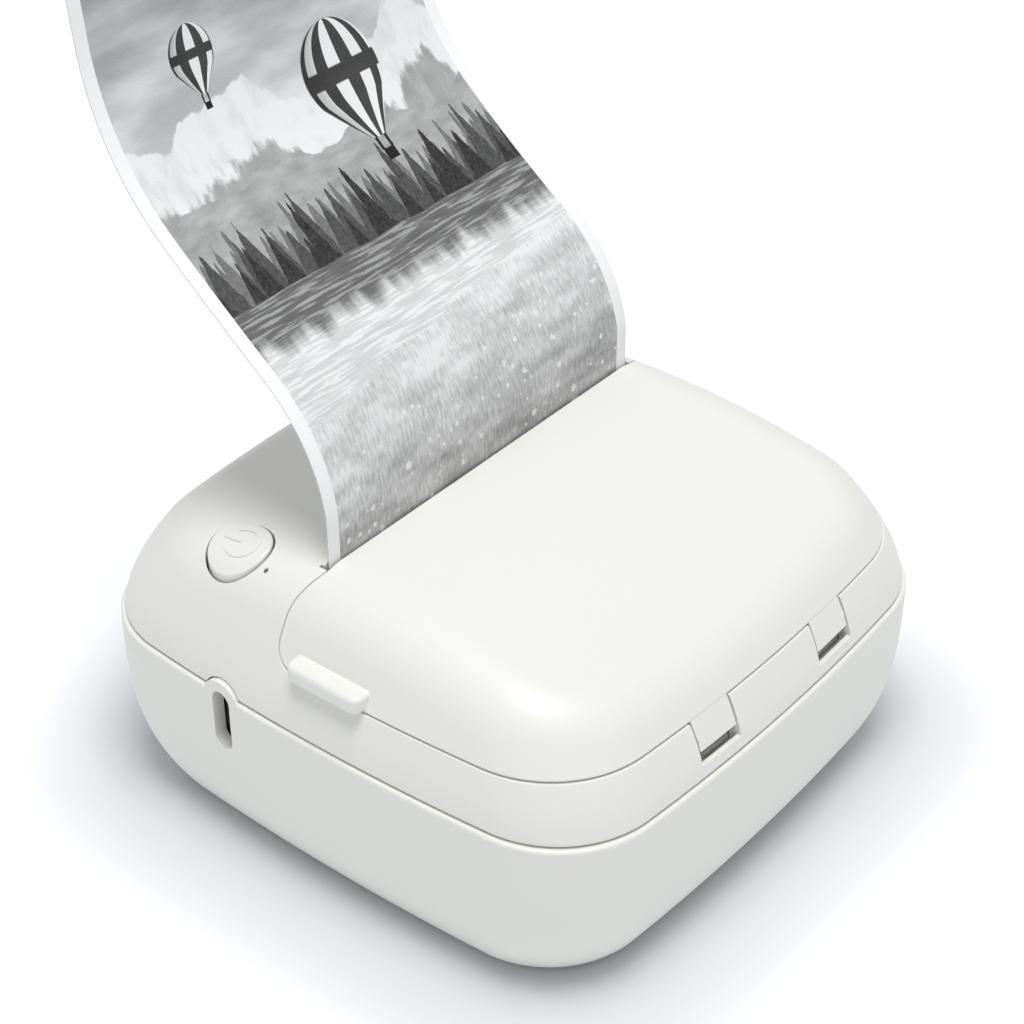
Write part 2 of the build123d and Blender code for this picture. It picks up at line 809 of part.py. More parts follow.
def gear_disc(centre, teeth, phase, x0, width):
    """Spur gear on the X axis, with a tooth centred at the angle phase in the YZ plane."""
    pitch_radius = gear_module * teeth / 2
    base_radius = pitch_radius * cos(radians(pressure_angle))
    root = pitch_radius - gear_root_share * gear_module
    tip = pitch_radius + gear_tip_share * gear_module
    flank = [root, max(base_radius, root + press_gap), pitch_radius, (pitch_radius + tip) / 2, tip]
    points = []
    for tooth in range(teeth):
        middle = radians(phase) + 2 * pi * tooth / teeth
        rising = [(radius, middle - tooth_half_angle(radius, teeth)) for radius in flank]
        falling = [(radius, middle + tooth_half_angle(radius, teeth)) for radius in reversed(flank)]
        points += [(centre[0] + r * cos(a), centre[1] + r * sin(a)) for r, a in rising + falling]
    with BuildPart() as disc:
        with BuildSketch(Plane.YZ.offset(x0)):
            with BuildLine():
                Polyline(*points, close=True)
            make_face()
        extrude(amount=width)
    return disc.part


def mesh_phase(line_angle, phase, teeth, next_teeth):
    """Phase of the next gear, whose centre lies at line_angle from this one's."""
    share = (line_angle - phase) * teeth / 360
    return line_angle + 180 + (share - 0.5) * 360 / next_teeth


platen_phase = 0.0
idler_phase = mesh_phase(idler_angle, platen_phase, platen_teeth, idler_teeth)
small_phase = mesh_phase(reduction_angle, idler_phase, idler_teeth, reduction_small_teeth)
big_phase = small_phase
pinion_phase = mesh_phase(motor_angle, big_phase, reduction_big_teeth, pinion_teeth)
gear_x0 = -gear_face_x - gear_width
big_gear_x0 = -big_gear_face_x - big_gear_width
motor_face_x = -frame_half_x + frame_plate

with BuildPart() as platen_gear:
    add(gear_disc(platen_at, platen_teeth, platen_phase, gear_x0, gear_width))
    add(rod_x(*platen_at, platen_shaft_radius + press_gap, -far, far), mode=Mode.SUBTRACT)
save(platen_gear, "platen_gear")

with BuildPart() as idler_gear:
    add(gear_disc(idler_at, idler_teeth, idler_phase, gear_x0, gear_width))
    add(rod_x(*idler_at, gear_post_radius + running_gap, -far, far), mode=Mode.SUBTRACT)
save(idler_gear, "idler_gear")

with BuildPart() as reduction_gear:
    add(gear_disc(reduction_at, reduction_small_teeth, small_phase, gear_x0 - gear_hub_reach,
                  gear_width + gear_hub_reach))
    add(gear_disc(reduction_at, reduction_big_teeth, big_phase, big_gear_x0, big_gear_width))
    add(rod_x(*reduction_at, gear_post_radius + running_gap, -far, far), mode=Mode.SUBTRACT)
save(reduction_gear, "reduction_gear")

with BuildPart() as motor_pinion:
    add(gear_disc(motor_at, pinion_teeth, pinion_phase, big_gear_x0, big_gear_width))
    add(rod_x(*motor_at, gear_post_radius + press_gap, -far, far), mode=Mode.SUBTRACT)
save(motor_pinion, "motor_pinion")

with BuildPart() as motor_shaft:
    add(rod_x(*motor_at, gear_post_radius, big_gear_x0 - gear_step_gap, motor_face_x + motor_shaft_seat))
save(motor_shaft, "motor_shaft")

with BuildPart() as gear_posts:
    add(rod_x(*idler_at, gear_post_radius, gear_x0 - running_gap, motor_face_x))
    add(rod_x(*reduction_at, gear_post_radius, big_gear_x0 - post_end_reach, motor_face_x))
save(gear_posts, "gear_posts")


# Stepper motor, on the inside of the frame's left plate

motor_screw_spots = [step(motor_at, motor_screw_spacing / 2, motor_screw_angle + turn) for turn in (0, 180)]
motor_screw_hole = motor_screw_radius + running_gap

with BuildPart() as stepper_motor:
    with BuildSketch(Plane.YZ.offset(motor_face_x)):
        with Locations(motor_at):
            Circle(motor_radius)
            SlotOverall(motor_screw_spacing + motor_ear_width, motor_ear_width, rotation=motor_screw_angle)
        with Locations(*motor_screw_spots):
            Circle(motor_screw_hole, mode=Mode.SUBTRACT)
    extrude(amount=motor_flange_thickness)
    add(rod_x(*motor_at, motor_radius, motor_face_x, motor_face_x + motor_length))
    fillet(stepper_motor.faces().sort_by(Axis.X)[-1].edges(), motor_round)
    add(rod_x(*motor_at, gear_post_radius + running_gap, motor_face_x, motor_face_x + 2 * motor_shaft_seat),
        mode=Mode.SUBTRACT)
save(stepper_motor, "stepper_motor")

with BuildPart() as motor_screws:
    for spot in motor_screw_spots:
        tip_x = motor_face_x + motor_flange_thickness + motor_screw_reach
        add(rod_x(*spot, motor_screw_radius, -frame_half_x, tip_x))
        add(rod_x(*spot, motor_screw_head_radius, -frame_half_x - motor_screw_radius, -frame_half_x))
save(motor_screws, "motor_screws")


# Frame: two plates and two beams that carry the motor, the gears, the head and the platen's bushes

left_plate_front_y = motor_screw_spots[0][0] - frame_left_margin
foot_top_z = floor_z + frame_boss_height + frame_foot_height

with BuildPart() as print_frame:
    for side in (-1, 1):
        x = (frame_half_x - frame_plate, frame_half_x) if side > 0 else (-frame_half_x, motor_face_x)
        front_y = beam_y - beam_thickness
        add(block(x, (front_y, frame_back_y), (floor_z, frame_top_z)))
        if side < 0:
            left_plate_top_z = motor_at[1] + motor_radius + frame_motor_margin
            add(block(x, (left_plate_front_y, front_y + bite), (floor_z, left_plate_top_z)))
        foot_x0 = frame_half_x - frame_plate - frame_foot_reach
        foot = (foot_x0, frame_half_x - frame_plate + bite)
        foot = foot if side > 0 else (-foot[1], -foot[0])
        add(block(foot, (frame_screw_y - frame_foot_half_width, frame_screw_y + frame_foot_half_width),
                  (floor_z + frame_boss_height, foot_top_z)))
        add(rod_z(side * frame_screw_x, frame_screw_y, screw_radius + running_gap, floor_z, foot_top_z),
            mode=Mode.SUBTRACT)
    inner = frame_half_x - frame_plate + frame_overlap
    add(block((-inner, inner), (beam_y - beam_thickness, beam_y), (beam_bottom_z, frame_top_z)))
    add(block((-inner, inner), sensor_beam_y, sensor_beam_z))
    with BuildSketch(Plane.XZ.offset(-beam_y)):
        with Locations((-spring_spacing, platen_z), (0, platen_z), (spring_spacing, platen_z)):
            Circle(spring_radius - spring_wire_radius - spring_seat_gap)
    extrude(amount=-spring_seat_depth)
    add(block((-far, far), (platen_y - bush_radius - bush_seat_gap, far),
              (platen_z - bush_radius - bush_gap, far)), mode=Mode.SUBTRACT)
    add(rod_x(head_pivot_y, head_pivot_z, head_pin_radius + running_gap, -far, far), mode=Mode.SUBTRACT)
    add(rod_x(*motor_at, gear_post_radius + motor_boss_gap, -far, 0), mode=Mode.SUBTRACT)
    for spot in (idler_at, reduction_at):
        add(rod_x(*spot, gear_post_radius + press_gap, -far, 0), mode=Mode.SUBTRACT)
    for spot in motor_screw_spots:
        add(rod_x(*spot, motor_screw_hole, -far, 0), mode=Mode.SUBTRACT)
save(print_frame, "print_frame")

with BuildPart() as frame_screws:
    for side in (-1, 1):
        add(screw(side * frame_screw_x, frame_screw_y, foot_top_z, short_screw_length, False))
save(frame_screws, "frame_screws")


# Print head: a ceramic strip on an aluminium plate that tilts on two pins, and the springs behind it

with BuildPart() as heat_sink:
    add(block((-head_half_length, head_half_length), (head_back_y, heat_sink_y),
              (head_bottom_z, head_top_z)))
    for side in (-1, 1):
        notch_x = side * (head_half_length - sink_notch_inset)
        notch_z = ceramic_bottom_z + sink_notch_rise
        add(block((notch_x - sink_notch_half, notch_x + sink_notch_half), (head_back_y, heat_sink_y),
                  (notch_z, notch_z + sink_notch_height)), mode=Mode.SUBTRACT)
    pin_reach = frame_half_x - head_pin_inset
    add(rod_x(head_pivot_y, head_pivot_z, head_pin_radius, -pin_reach, pin_reach))
save(heat_sink, "heat_sink")

with BuildPart() as thermal_head:
    ceramic_half = head_half_length - ceramic_inset
    add(block((-ceramic_half, ceramic_half), (heat_sink_y, ceramic_y),
              (ceramic_bottom_z, head_top_z - ceramic_inset)))
    chamfer(thermal_head.edges().group_by(Axis.Z)[-1], ceramic_chamfer)
save(thermal_head, "thermal_head")

with BuildPart() as head_springs:
    spring_start = beam_y + spring_wire_radius + press_gap
    spring_length = head_back_y - spring_gap - spring_wire_radius - spring_start
    for x in (-spring_spacing, 0, spring_spacing):
        with BuildLine() as coil:
            Helix(spring_length / spring_turns, spring_length, spring_radius,
                  center=(x, spring_start, platen_z), direction=(0, 1, 0))
        with BuildSketch(Plane(coil.line @ 0, z_dir=coil.line % 0)):
            Circle(spring_wire_radius)
        sweep(path=coil.line, is_frenet=True)
save(head_springs, "head_springs")


# Paper: roll on its core, and the strip that runs up between head and platen and out of the slot

with BuildPart() as paper_roll:
    add(rod_x(roll_y, roll_z, roll_radius, -paper_width / 2, paper_width / 2))
    add(rod_x(roll_y, roll_z, core_radius + press_gap, -far, far), mode=Mode.SUBTRACT)
save(paper_roll, "paper_roll")

with BuildPart() as roll_core:
    add(rod_x(roll_y, roll_z, core_radius, -paper_width / 2, paper_width / 2))
    add(rod_x(roll_y, roll_z, core_bore_radius, -far, far), mode=Mode.SUBTRACT)
save(roll_core, "roll_core")

paper_off_roll = roll_radius + running_gap + paper_thickness / 2
paper_off_platen = platen_radius + running_gap + paper_thickness / 2
span = sqrt((platen_y - roll_y) ** 2 + (platen_z - roll_z) ** 2)
lean = atan2(platen_z - roll_z, platen_y - roll_y) + acos((paper_off_roll - paper_off_platen) / span)
leave = (roll_y + paper_off_roll * cos(lean), roll_z + paper_off_roll * sin(lean))
meet = (platen_y + paper_off_platen * cos(lean), platen_z + paper_off_platen * sin(lean))
wrap = degrees(lean) - 180

with BuildPart() as paper_strip:
    with BuildLine(Plane.YZ) as route:
        feed = Line(leave, meet)
        nip = JernArc(feed @ 1, feed % 1, paper_off_platen, -wrap)
        rise = Line(nip @ 1, (strip_y, top_z + strip_rise))
        bend = JernArc(rise @ 1, (0, 1), strip_bend_radius, strip_bend_angle)
        slope = Line(bend @ 1, bend @ 1 + (bend % 1) * strip_straight)
        back = JernArc(slope @ 1, slope % 1, strip_return_radius, -strip_return_angle)
        Line(back @ 1, back @ 1 + (back % 1) * strip_end)
    start = Plane(origin=route.line @ 0, x_dir=(1, 0, 0), z_dir=route.line % 0)
    with BuildSketch(start):
        Rectangle(paper_width, paper_thickness)
    sweep(path=route.line)
save(paper_strip, "paper_strip")


# Bucket that holds the roll: a trough with end plates, standing on the floor

with BuildPart() as paper_bucket:
    outer_x = bucket_half_x + bucket_wall
    with BuildSketch(Plane.YZ.offset(-outer_x)):
        with Locations((roll_y, bucket_z)):
            Circle(bucket_radius + bucket_wall)
        with Locations((roll_y, (bucket_z + bucket_top_z) / 2)):
            Rectangle(2 * (bucket_radius + bucket_wall), bucket_top_z - bucket_z)
        with Locations((roll_y, floor_z + bucket_wall)):
            Rectangle(bucket_foot_width, 2 * bucket_wall)
    extrude(amount=2 * outer_x)
    with BuildSketch(Plane.YZ.offset(-bucket_half_x)):
        with Locations((roll_y, bucket_z)):
            Circle(bucket_radius)
        with Locations((roll_y, bucket_z + far / 2)):
            Rectangle(2 * bucket_radius, far)
    extrude(amount=2 * bucket_half_x, mode=Mode.SUBTRACT)
    add(block((-far, far), (-far, bucket_front_y), (bucket_lip_z, far)), mode=Mode.SUBTRACT)
    add(block((-far, far), (-far, far), (bucket_top_z, far)), mode=Mode.SUBTRACT)
save(paper_bucket, "paper_bucket")

with BuildPart() as paper_sensor:
    add(block((-sensor_half_length, sensor_half_length), (sensor_beam_y[1], sensor_beam_y[1] + sensor_depth),
              (sensor_beam_z[0] + sensor_margin, sensor_beam_z[1] - sensor_margin)))
    chamfer(paper_sensor.edges().group_by(Axis.Y)[-1], sensor_margin)
save(paper_sensor, "paper_sensor")


# Main board, upright behind the port, and what is on it

with BuildPart() as main_board:
    add(block((board_left_x, board_right_x), (board_front_y, board_back_y), (board_bottom_z, board_top_z)))
    fillet(main_board.edges().filter_by(Axis.Y), board_corner)
save(main_board, "main_board")

with BuildPart() as board_chips:
    add(block(processor_x, (board_back_y, board_back_y + chip_height), processor_z))
    add(block(memory_x, (board_back_y, board_back_y + chip_height), memory_z))
    add(block(driver_x, (board_back_y, board_back_y + chip_height), driver_z))
    add(block(charger_x, (board_front_y - chip_height, board_front_y), charger_z))
save(board_chips, "board_chips")

with BuildPart() as board_sockets:
    socket_half = ribbon_half + ribbon_socket_half_height
    add(block((-socket_half, socket_half), (board_back_y, board_back_y + ribbon_socket_depth),
              (ribbon_z - ribbon_socket_half_height, ribbon_z + ribbon_socket_half_height)))
    add(block((plug_x - plug_half_width, plug_x + plug_half_width),
              (board_front_y - plug_depth, board_front_y), (plug_z - plug_half_height, plug_z + plug_half_height)))
save(board_sockets, "board_sockets")

with BuildPart() as head_ribbon:
    with BuildLine(Plane.YZ) as bow:
        drop = Line((head_pivot_y, head_bottom_z - spring_gap), (head_pivot_y, ribbon_z + ribbon_bend))
        turn = JernArc(drop @ 1, (0, -1), ribbon_bend, -90)
        Line(turn @ 1, (board_back_y + ribbon_socket_depth + press_gap, ribbon_z))
    with BuildSketch(Plane(origin=bow.line @ 0, x_dir=(1, 0, 0), z_dir=bow.line % 0)):
        Rectangle(2 * ribbon_half, ribbon_thickness)
    sweep(path=bow.line)
save(head_ribbon, "head_ribbon")

usb_front_x = usb_inner_x - usb_socket_setback
usb_rear_x = usb_front_x - usb_shell_depth
usb_bore_length = usb_shell_length - 2 * usb_shell_wall
usb_bore_width = usb_shell_width - 2 * usb_shell_wall

with BuildPart() as usb_socket:
    add(usb_pill(usb_shell_length, usb_shell_width, usb_rear_x, usb_front_x))
    add(usb_pill(usb_bore_length, usb_bore_width, usb_rear_x, far), mode=Mode.SUBTRACT)
save(usb_socket, "usb_socket")

with BuildPart() as usb_tongue:
    add(usb_pill(usb_bore_length, usb_bore_width, usb_rear_x, usb_rear_x + usb_plug_depth))
    add(block((usb_rear_x + usb_plug_depth - bite, usb_front_x - usb_tongue_setback),
              (usb_y - usb_tongue_thickness / 2, usb_y + usb_tongue_thickness / 2),
              (usb_z - usb_tongue_length / 2, usb_z + usb_tongue_length / 2)))
save(usb_tongue, "usb_tongue")

switch_top_z = board_top_z + switch_proud
plunger_bottom_z = switch_top_z - plunger_sunk
stem_bottom_z = switch_top_z + plunger_reach

with BuildPart() as tact_switch:
    add(block((button_x - switch_half_width, button_x + switch_half_width),
              (board_front_y - switch_depth, board_front_y), (switch_top_z - switch_height, switch_top_z)))
    add(rod_z(button_x, button_stem_y, plunger_radius + running_gap,
              plunger_bottom_z - button_travel - plunger_end_gap, far), mode=Mode.SUBTRACT)
save(tact_switch, "tact_switch")

with BuildPart() as switch_plunger:
    add(rod_z(button_x, button_stem_y, plunger_radius, plunger_bottom_z, stem_bottom_z))
save(switch_plunger, "switch_plunger")

with BuildPart() as power_button:
    clip_z = button_boss_z - slip_gap - button_clip_height
    add(button_oval(0, clip_z, far) & upper_envelope(-button_proud))
    upper_edges = power_button.edges().filter_by(lambda edge: (edge @ 0.5).Z > button_boss_z)
    fillet(upper_edges.filter_by(lambda edge: abs((edge % 0.5).Z) < 0.95), button_round)
    add(block((button_clip_x - button_clip_width / 2, button_clip_x + button_clip_width / 2),
              (button_y - button_clip_reach, button_y + button_clip_reach),
              (clip_z, clip_z + button_clip_height)))
    add(rod_z(button_x, button_stem_y, button_stem_radius, stem_bottom_z, clip_z + bite))
    opening = far * tan(radians(symbol_gap_angle / 2))
    with BuildPart(mode=Mode.PRIVATE) as symbol:
        with BuildSketch(Plane.XY.offset(button_boss_z)):
            with Locations((symbol_x, symbol_y)):
                Ellipse(symbol_half_x + symbol_line / 2, symbol_half_y + symbol_line / 2)
                Ellipse(symbol_half_x - symbol_line / 2, symbol_half_y - symbol_line / 2, mode=Mode.SUBTRACT)
            with BuildLine():
                Polyline((symbol_x, symbol_y), (symbol_x - opening, symbol_y - far),
                         (symbol_x + opening, symbol_y - far), close=True)
            make_face(mode=Mode.SUBTRACT)
            with Locations((symbol_x, symbol_bar_y)):
                Rectangle(symbol_line, symbol_bar_length)
        extrude(amount=far)
    add(symbol.part & upper_envelope(-button_proud - symbol_proud))
save(power_button, "power_button")

with BuildPart() as status_led:
    add(block((light_x - led_width / 2, light_x + led_width / 2), (board_back_y, board_back_y + led_depth),
              (board_top_z - led_drop - led_height, board_top_z - led_drop)))
save(status_led, "status_led")

with BuildPart() as light_pipe:
    foot_z = board_top_z - light_foot_drop
    add(rod_z(light_x, light_y, light_rod_radius, foot_z, light_rod_top_z))
    add(rod_z(light_x, light_y, light_pin_radius, foot_z, far) & upper_envelope(light_gap))
    add(block((light_x - light_rod_radius, light_x + light_rod_radius),
              (board_back_y + led_depth + light_led_gap, light_y), (foot_z, foot_z + light_foot_height)))
save(light_pipe, "light_pipe")


# Battery: a round cell in two saddles, with its leads to the board

with BuildPart() as battery_cell:
    can_end_x = battery_length / 2 - battery_cap_length
    add(rod_x(battery_y, battery_z, battery_radius, -battery_length / 2, can_end_x))
    fillet(battery_cell.edges().filter_by(GeomType.CIRCLE), battery_round)
    add(rod_x(battery_y, battery_z, battery_cap_radius, can_end_x - bite, battery_length / 2))
save(battery_cell, "battery_cell")

with BuildPart() as battery_wires:
    for x in (plug_x - wire_spacing / 2, plug_x + wire_spacing / 2):
        start_z = battery_z + battery_radius + wire_gap
        end_y = board_front_y - plug_depth - press_gap
        with BuildLine() as lead:
            FilletPolyline((x, battery_y, start_z), (x, battery_y, plug_z), (x, end_y, plug_z),
                           radius=wire_bend)
        with BuildSketch(Plane(origin=(x, battery_y, start_z))):
            Circle(wire_radius)
        sweep(path=lead.line)
save(battery_wires, "battery_wires")
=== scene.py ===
# %% [markdown]
# # A portable thermal printer
# The printer is a white, pillow-shaped box that lies in a hand. Its lower shell, upper shell and
# paper cover come from the CAD model, and so does all that is inside. This lesson lights them,
# gives each piece its finish, and makes the printed strip that rises from the slot.

# %% Load the fixed model
import json
from math import acos, atan2, cos, degrees, pi, radians, sin, sqrt

import bpy
from mathutils import Matrix, Vector


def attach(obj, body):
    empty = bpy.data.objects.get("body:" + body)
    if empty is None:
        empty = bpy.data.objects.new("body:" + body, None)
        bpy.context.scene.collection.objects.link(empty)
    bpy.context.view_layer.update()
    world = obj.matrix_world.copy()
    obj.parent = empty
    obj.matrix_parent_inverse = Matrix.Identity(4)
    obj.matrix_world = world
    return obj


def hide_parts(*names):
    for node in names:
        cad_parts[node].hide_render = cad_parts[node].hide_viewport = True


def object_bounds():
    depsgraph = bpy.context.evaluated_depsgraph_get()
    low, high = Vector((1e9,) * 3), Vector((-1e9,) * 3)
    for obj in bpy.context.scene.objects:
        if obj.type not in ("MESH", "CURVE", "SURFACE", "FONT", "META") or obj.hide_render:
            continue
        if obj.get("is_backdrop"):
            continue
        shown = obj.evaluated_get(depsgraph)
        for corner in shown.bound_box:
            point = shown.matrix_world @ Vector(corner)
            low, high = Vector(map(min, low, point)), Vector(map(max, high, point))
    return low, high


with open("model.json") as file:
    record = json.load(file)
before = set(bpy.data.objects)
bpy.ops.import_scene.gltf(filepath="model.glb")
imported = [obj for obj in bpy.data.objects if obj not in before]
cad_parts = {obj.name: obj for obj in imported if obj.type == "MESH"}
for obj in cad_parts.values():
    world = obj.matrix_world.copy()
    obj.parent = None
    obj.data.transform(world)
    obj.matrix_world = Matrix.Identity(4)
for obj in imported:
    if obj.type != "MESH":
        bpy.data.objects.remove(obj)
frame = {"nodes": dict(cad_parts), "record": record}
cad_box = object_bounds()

# %% [markdown]
# ## The camera
# It stands at the corner between the port side and the hinge side, a third of the way up. Its
# place and its lens were worked out from straight lines on the real printer, so a long lens keeps
# the casing's edges nearly parallel.

# %% Camera
camera_place = Vector((0.20075, 0.16211, 0.21973))
camera_right = Vector((-0.6299, 0.7767, 0.0))
camera_up = Vector((-0.4505, -0.3653, 0.8146))
camera_back = Vector((0.6327, 0.5131, 0.5800))

lens = bpy.data.cameras.new("printer_camera")
lens.lens = 89.3
lens.sensor_width = 36.0
lens.clip_start = 0.01
camera = bpy.data.objects.new("printer_camera", lens)
bpy.context.collection.objects.link(camera)
turn = Matrix((camera_right, camera_up, camera_back)).transposed().to_4x4()
camera.matrix_world = Matrix.Translation(camera_place) @ turn
bpy.context.scene.camera = camera
print("camera stands", round(camera_place.length, 3), "m from the printer")

# %% [markdown]
# ## Writing shader maths
# A material is a web of nodes. Wrapping each socket in a small class lets ordinary arithmetic
# add the Math nodes, so a pattern reads as a formula.

# %% A socket that does arithmetic


class Signal:
    """An output socket. Arithmetic on it adds Math nodes to its material."""

    def __init__(self, tree, socket):
        self.tree = tree
        self.socket = socket

    def math(self, operation, *values):
        node = self.tree.nodes.new("ShaderNodeMath")
        node.operation = operation
        for place, value in enumerate(values):
            plug(self.tree, node.inputs[place], value)
        return Signal(self.tree, node.outputs[0])

    def __add__(self, other):
        return self.math("ADD", self, other)

    def __radd__(self, other):
        return self.math("ADD", other, self)

    def __sub__(self, other):
        return self.math("SUBTRACT", self, other)

    def __rsub__(self, other):
        return self.math("SUBTRACT", other, self)

    def __mul__(self, other):
        return self.math("MULTIPLY", self, other)

    def __rmul__(self, other):
        return self.math("MULTIPLY", other, self)

    def __truediv__(self, other):
        return self.math("DIVIDE", self, other)

    def __pow__(self, other):
        return self.math("POWER", self, other)

    def sine(self):
        return self.math("SINE", self)

    def arcsine(self):
        return self.math("ARCSINE", self)

    def size(self):
        return self.math("ABSOLUTE", self)

    def fraction(self):
        return self.math("FRACT", self)

    def least(self, other):
        return self.math("MINIMUM", self, other)

    def most(self, other):
        return self.math("MAXIMUM", self, other)

    def above(self, edge, blur=0.0):
        """1 where the signal is more than edge, 0 where it is less, over a soft border."""
        if blur == 0.0:
            return self.math("GREATER_THAN", self, edge)
        node = self.tree.nodes.new("ShaderNodeMapRange")
        node.interpolation_type = "SMOOTHSTEP"
        plug(self.tree, node.inputs["Value"], self)
        plug(self.tree, node.inputs["From Min"], edge - blur)
        plug(self.tree, node.inputs["From Max"], edge + blur)
        return Signal(self.tree, node.outputs["Result"])


def plug(tree, socket, value):
    """Links a signal to a socket, or sets the socket's own value."""
    if isinstance(value, Signal):
        tree.links.new(value.socket, socket)
    else:
        socket.default_value = value


print("signals add, multiply and compare")

# %% One finish
MM_PER_METRE = 1000.0
finishes = {}


class Finish:
    """A material with a Principled shader, and short ways to add nodes to it."""

    def __init__(self, name, **constants):
        self.material = bpy.data.materials.new(name)
        self.material.use_nodes = True
        self.tree = self.material.node_tree
        self.shader = self.tree.nodes["Principled BSDF"]
        finishes[name] = self.material
        self.set(**constants)

    def set(self, **values):
        for name, value in values.items():
            plug(self.tree, self.shader.inputs[name.replace("_", " ")], value)

    def node(self, kind, output, **values):
        made = self.tree.nodes.new(kind)
        for name, value in values.items():
            plug(self.tree, made.inputs[name.replace("_", " ")], value)
        return Signal(self.tree, made.outputs[output])

    def place(self):
        """x, y and z of the shaded point, in millimetres."""
        spot = self.node("ShaderNodeTexCoord", "Object")
        split = self.tree.nodes.new("ShaderNodeSeparateXYZ")
        self.tree.links.new(spot.socket, split.inputs[0])
        return [Signal(self.tree, split.outputs[axis]) * MM_PER_METRE for axis in range(3)]

    def vector(self, x, y, z):
        return self.node("ShaderNodeCombineXYZ", "Vector", X=x, Y=y, Z=z)

    def noise(self, scale, detail=2.0, vector=None):
        """Cloudy noise from 0 to 1; scale is in cells per metre where no vector is given."""
        if vector is None:
            vector = self.node("ShaderNodeTexCoord", "Object")
        return self.node("ShaderNodeTexNoise", "Fac", Vector=vector, Scale=scale, Detail=detail)

    def blend(self, share, first, second):
        """A colour between two others."""
        mix = self.tree.nodes.new("ShaderNodeMix")
        mix.data_type = "RGBA"
        plug(self.tree, mix.inputs["Factor"], share)
        for socket, value in ((mix.inputs[6], first), (mix.inputs[7], second)):
            plug(self.tree, socket, (*value, 1.0) if isinstance(value, tuple) else value)
        return Signal(self.tree, mix.outputs[2])

    def relief(self, height, depth):
        """Bumps of the given depth, in metres."""
        bump = self.tree.nodes.new("ShaderNodeBump")
        bump.inputs["Strength"].default_value = 1.0
        bump.inputs["Distance"].default_value = depth
        plug(self.tree, bump.inputs["Height"], height)
        return Signal(self.tree, bump.outputs[0])


print("a finish is a shader and its pattern")

# %% [markdown]
# ## Moulded plastic
# The casing is white ABS from a mould with a fine spark-eroded grain. The grain is far too fine to
# model, so it goes into the shader: a small bump breaks up the gloss, and a very faint cloudiness
# in the colour keeps the large faces from looking like paint.

# %% Plastics


def plastic(name, colour, roughness, grain=2600.0, grain_depth=0.000012, cloudiness=0.02):
    finish = Finish(name, IOR=1.5, Specular_IOR_Level=0.5)
    clouds = finish.noise(60.0, 3.0)
    darker = tuple(channel * (1.0 - cloudiness) for channel in colour)
    finish.set(Base_Color=finish.blend(clouds, darker, colour))
    grains = finish.noise(grain, 2.0)
    finish.set(Roughness=roughness - 0.04 + 0.08 * grains)
    finish.set(Normal=finish.relief(grains, grain_depth))


plastic("white_shell", (0.864, 0.862, 0.818), 0.42,
        grain=3200.0, grain_depth=0.000006, cloudiness=0.008)
plastic("button_plastic", (0.862, 0.860, 0.816), 0.36,
        grain=3600.0, grain_depth=0.000004, cloudiness=0.006)
plastic("grey_plastic", (0.075, 0.08, 0.088), 0.5)
plastic("black_plastic", (0.012, 0.012, 0.014), 0.42)
plastic("gear_plastic", (0.72, 0.70, 0.62), 0.38, cloudiness=0.05)
plastic("connector", (0.74, 0.72, 0.65), 0.45, cloudiness=0.04)
plastic("led", (0.75, 0.80, 0.68), 0.12, grain_depth=0.000001)
print("plastics:", len(finishes))

# %% [markdown]
# ## Metals
# Pressed steel shows the streaks of its rolling, the screws are zinc plated and darker, and the
# print head's heat sink is brushed aluminium. Noise that is stretched along one axis makes the
# streaks.

# %% Metals
streak_shade = 0.82
streak_depth = 0.000004


def metal(name, colour, roughness, streaks=(1.0, 14.0, 14.0)):
    finish = Finish(name, Metallic=1.0)
    squeezed = [axis * streak for axis, streak in zip(finish.place(), streaks)]
    lines = finish.noise(0.35, 4.0, finish.vector(*squeezed))
    dull = tuple(channel * streak_shade for channel in colour)
    finish.set(Base_Color=finish.blend(lines, dull, colour))
    finish.set(Roughness=roughness - 0.06 + 0.14 * lines)
    finish.set(Normal=finish.relief(lines, streak_depth))


metal("steel", (0.60, 0.60, 0.61), 0.30)
metal("dark_steel", (0.16, 0.165, 0.18), 0.38, streaks=(6.0, 6.0, 1.0))
metal("aluminium", (0.77, 0.78, 0.79), 0.34, streaks=(0.6, 10.0, 10.0))
print("metals: steel, dark_steel, aluminium")

# %% [markdown]
# ## Rubber, card and ceramic
# The platen is ground rubber with a fine, even grain. The feet are softer and paler, and the
# battery's wires have a thin red skin. The paper's core is grey-brown card with seams, and the
# head's ceramic is glazed, with the dark line of its heating dots near the top.

# %% Rubber, card and ceramic
speck_shade = 0.75
speck_depth = 0.00002
seam_shares = (0.42, 0.6)


def rubber(name, colour, roughness, grain):
    finish = Finish(name, Specular_IOR_Level=0.3)
    specks = finish.noise(grain, 3.0)
    darker = tuple(channel * speck_shade for channel in colour)
    finish.set(Base_Color=finish.blend(specks, darker, colour))
    finish.set(Roughness=roughness + 0.12 * specks)
    finish.set(Normal=finish.relief(specks, speck_depth))


rubber("platen_rubber", (0.028, 0.028, 0.030), 0.62, 5200.0)
rubber("foot_rubber", (0.15, 0.155, 0.16), 0.70, 3800.0)
rubber("wire", (0.36, 0.02, 0.015), 0.40, 2500.0)

card = Finish("card", Specular_IOR_Level=0.2)
card_x, _, card_z = card.place()
fibres = card.noise(1500.0, 4.0)
round_core = card_x * seam_shares[0] + card_z * seam_shares[1]
seam = round_core.sine().size().above(0.06, 0.05)
card_shade = seam * (0.55 + 0.45 * fibres)
card.set(Base_Color=card.blend(card_shade, (0.16, 0.11, 0.07), (0.36, 0.27, 0.18)))
card.set(Roughness=0.85 + 0.1 * fibres, Normal=card.relief(fibres, 0.00003))

